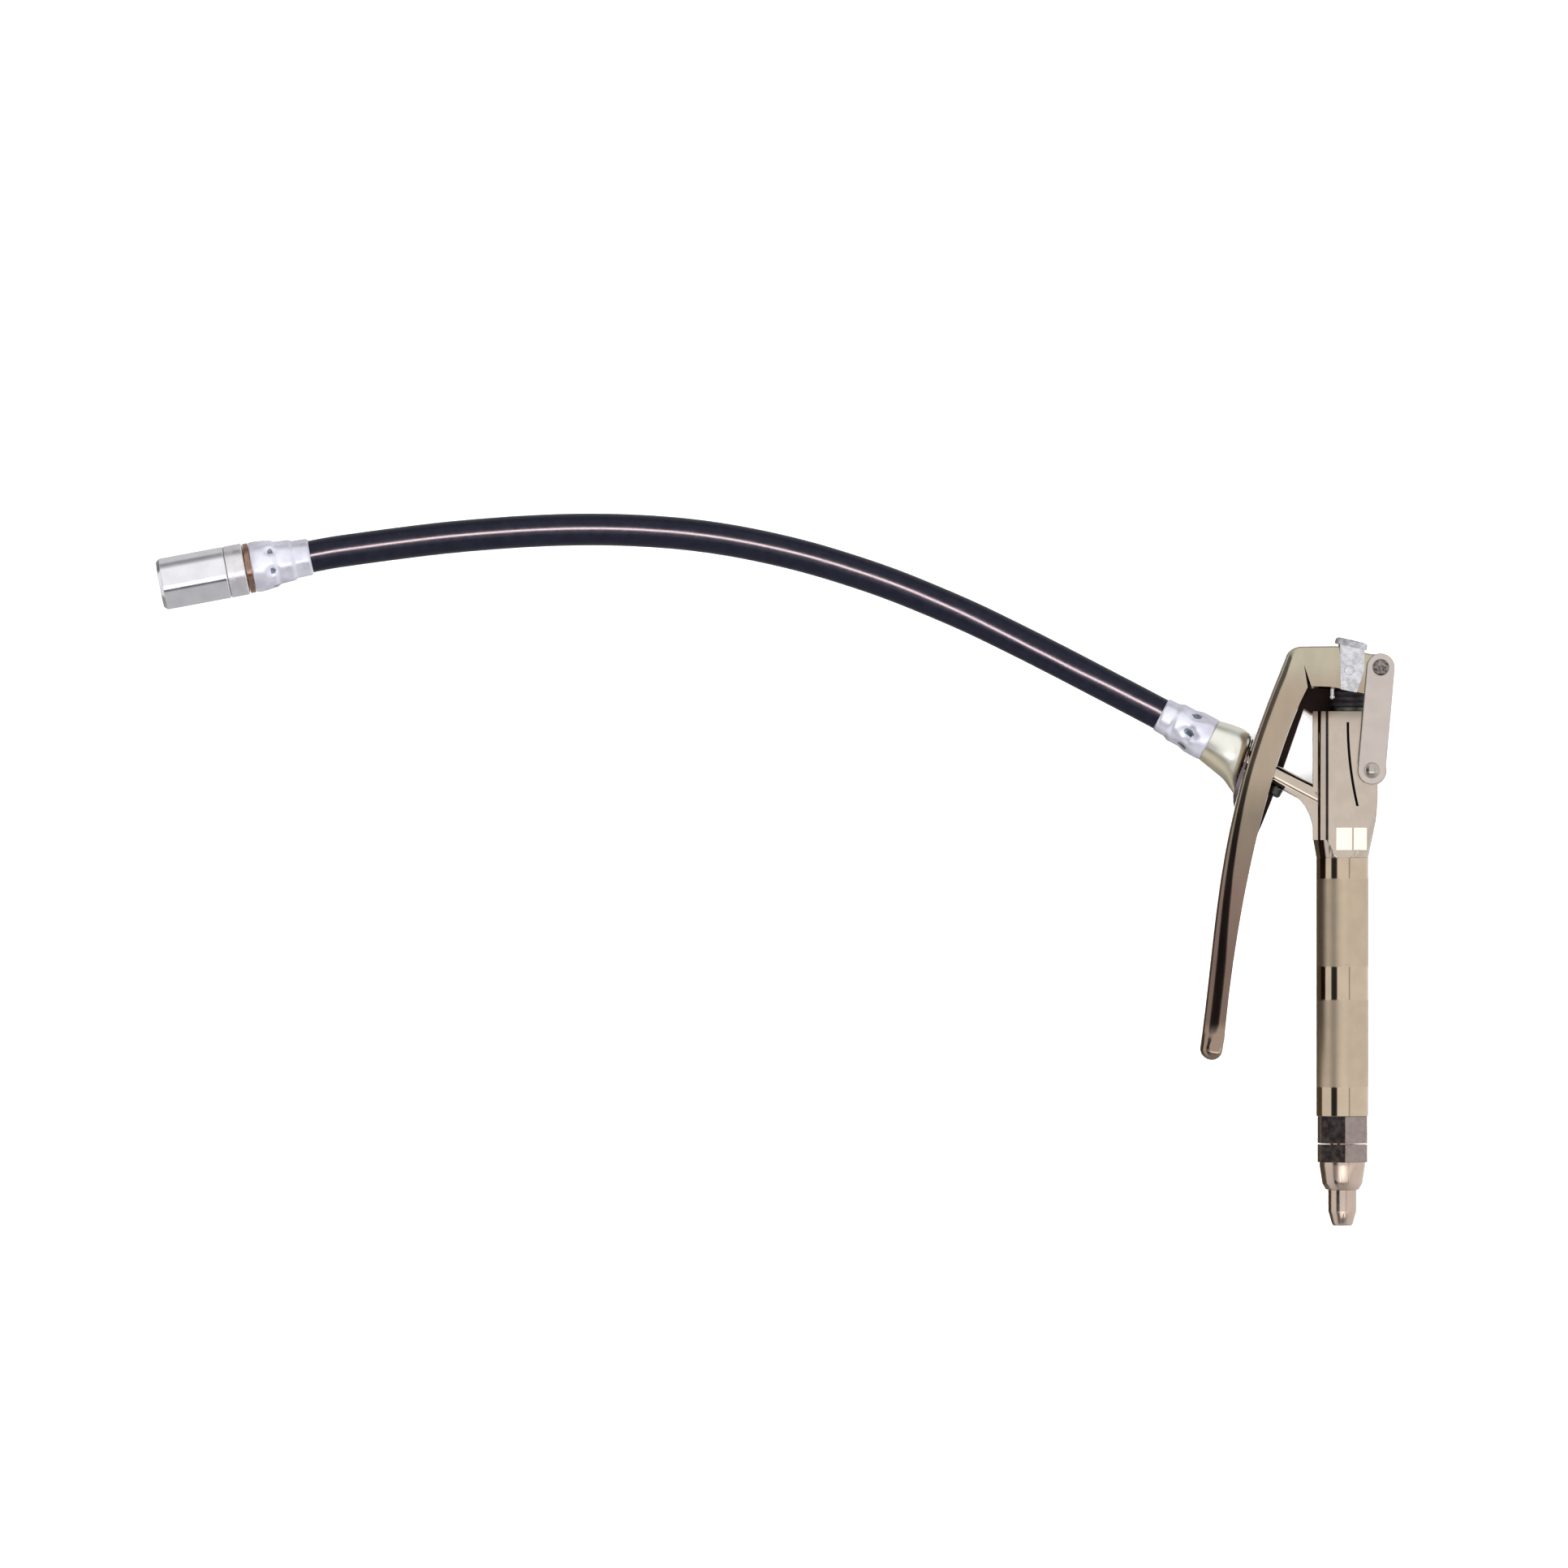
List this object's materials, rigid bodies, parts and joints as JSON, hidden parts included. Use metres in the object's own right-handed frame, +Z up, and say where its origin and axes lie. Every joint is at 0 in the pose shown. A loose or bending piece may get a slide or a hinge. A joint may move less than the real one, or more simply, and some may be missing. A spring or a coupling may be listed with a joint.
{
  "type": "grease gun",
  "caption": "Hand-operated booster grease gun: tubular grip with a swivel inlet, linked squeeze lever working a pump plunger, and a flexible outlet hose ending in a grease-fitting coupler.",
  "frame": {"origin": "on the surface the gun lies on, under the middle of the gun's own box (hose and coupler left out)", "axes": "the gun lies on its side: +X points away from the hose, +Y runs up the grip towards the lever's pivot, +Z up, square to the lever's plane of swing"},
  "size_m": [0.4239, 0.2438, 0.0298],
  "materials": {
    "nickel_body": "polished warm nickel plate",
    "nickel_lever": "polished warm nickel plate on pressed steel",
    "link_nickel": "satin nickel plate",
    "zinc": "bright zinc plate",
    "dark_hex": "dark brown-grey plated steel",
    "swivel": "polished plated steel",
    "boss_cream": "cream-yellow passivated casting",
    "hose_rubber": "smooth blue-black hose cover",
    "black_rubber": "moulded nitrile rubber",
    "black_oxide": "black-oxide steel",
    "pin_steel": "hardened steel, dull",
    "spring_steel": "spring wire",
    "bright_steel": "ground steel",
    "copper_washer": "brown copper ring"
  },
  "bodies": {
    "gun_body": {"body_casting": "nickel_body", "grip_tube": "nickel_body", "gland_nut": "black_oxide", "plunger_seal": "black_rubber", "dust_boot": "black_rubber", "return_spring": "spring_steel", "gallery_plug": "black_oxide", "outlet_boss": "boss_cream", "boss_seal": "copper_washer", "outlet_spring": "spring_steel", "inlet_seat": "bright_steel", "inlet_spring": "spring_steel", "strainer": "bright_steel", "swivel_collar": "dark_hex", "gun_hose_stem": "bright_steel", "gun_ferrule": "zinc", "hose_tube": "hose_rubber", "coupler_ferrule": "zinc", "coupler_hose_stem": "bright_steel", "coupler_washer": "copper_washer", "coupler_body": "zinc", "coupler_sleeve": "zinc", "coupler_spring": "spring_steel"},
    "inlet_swivel": {"swivel_stem": "swivel", "swivel_oring": "black_rubber", "swivel_ring": "spring_steel"},
    "links": {"link_plate_near": "link_nickel", "link_plate_far": "link_nickel", "link_pin_upper": "pin_steel", "link_pin_lower": "pin_steel", "link_pin_clips": "spring_steel"},
    "hand_lever": {"lever": "nickel_lever", "saddle_bracket": "zinc", "cap_screw": "zinc", "yoke_pin": "zinc", "cotter_pin": "bright_steel"},
    "pump_plunger": {"plunger": "bright_steel", "spring_seat": "black_oxide"},
    "inlet_check": {"inlet_ball": "bright_steel"},
    "outlet_check": {"outlet_ball": "bright_steel"},
    "coupler_core": {"coupler_piston": "bright_steel", "coupler_seal": "black_rubber", "coupler_jaws": "black_oxide"}
  },
  "joints": [
    {"name": "link_rock", "type": "hinge", "parent": "gun_body", "child": "links", "pos_m": [0.02543, 0.05505, 0.015], "axis": [0, 0, 1], "range_deg": [0, 0.75]},
    {"name": "lever_squeeze", "type": "hinge", "parent": "links", "child": "hand_lever", "pos_m": [0.02853, 0.09025, 0.015], "axis": [0, 0, 1], "range_deg": [0, 12.5], "stiffness_Nm_per_rad": 0.9, "springref_deg": -8.59},
    {"name": "plunger_stroke", "type": "slide", "parent": "gun_body", "child": "pump_plunger", "axis": [0, -1, 0], "range_m": [0, 0.0025], "deforming": ["return_spring", "dust_boot"]},
    {"name": "inlet_turn", "type": "hinge", "parent": "gun_body", "child": "inlet_swivel", "pos_m": [0.01573, -0.08075, 0.015], "axis": [0, 1, 0], "continuous": true},
    {"name": "inlet_ball_lift", "type": "slide", "parent": "gun_body", "child": "inlet_check", "axis": [0, 1, 0], "range_m": [0, 0.0012], "stiffness_N_per_m": 60, "springref_m": -0.001, "deforming": ["inlet_spring"]},
    {"name": "outlet_ball_lift", "type": "slide", "parent": "gun_body", "child": "outlet_check", "axis": [-0.8829, 0.4695, 0], "range_m": [0, 0.001], "stiffness_N_per_m": 60, "springref_m": -0.001, "deforming": ["outlet_spring"]},
    {"name": "coupler_core_push", "type": "slide", "parent": "gun_body", "child": "coupler_core", "axis": [0.9829, 0.184, 0], "range_m": [0, 0.0015], "stiffness_N_per_m": 900, "springref_m": -0.002, "deforming": ["coupler_spring"]}
  ],
  "couplings": [
    {"joint": "link_rock", "follows": "lever_squeeze", "ratio": 0.0585},
    {"joint": "plunger_stroke", "follows": "lever_squeeze", "m_per_rad": 0.0111}
  ]
}
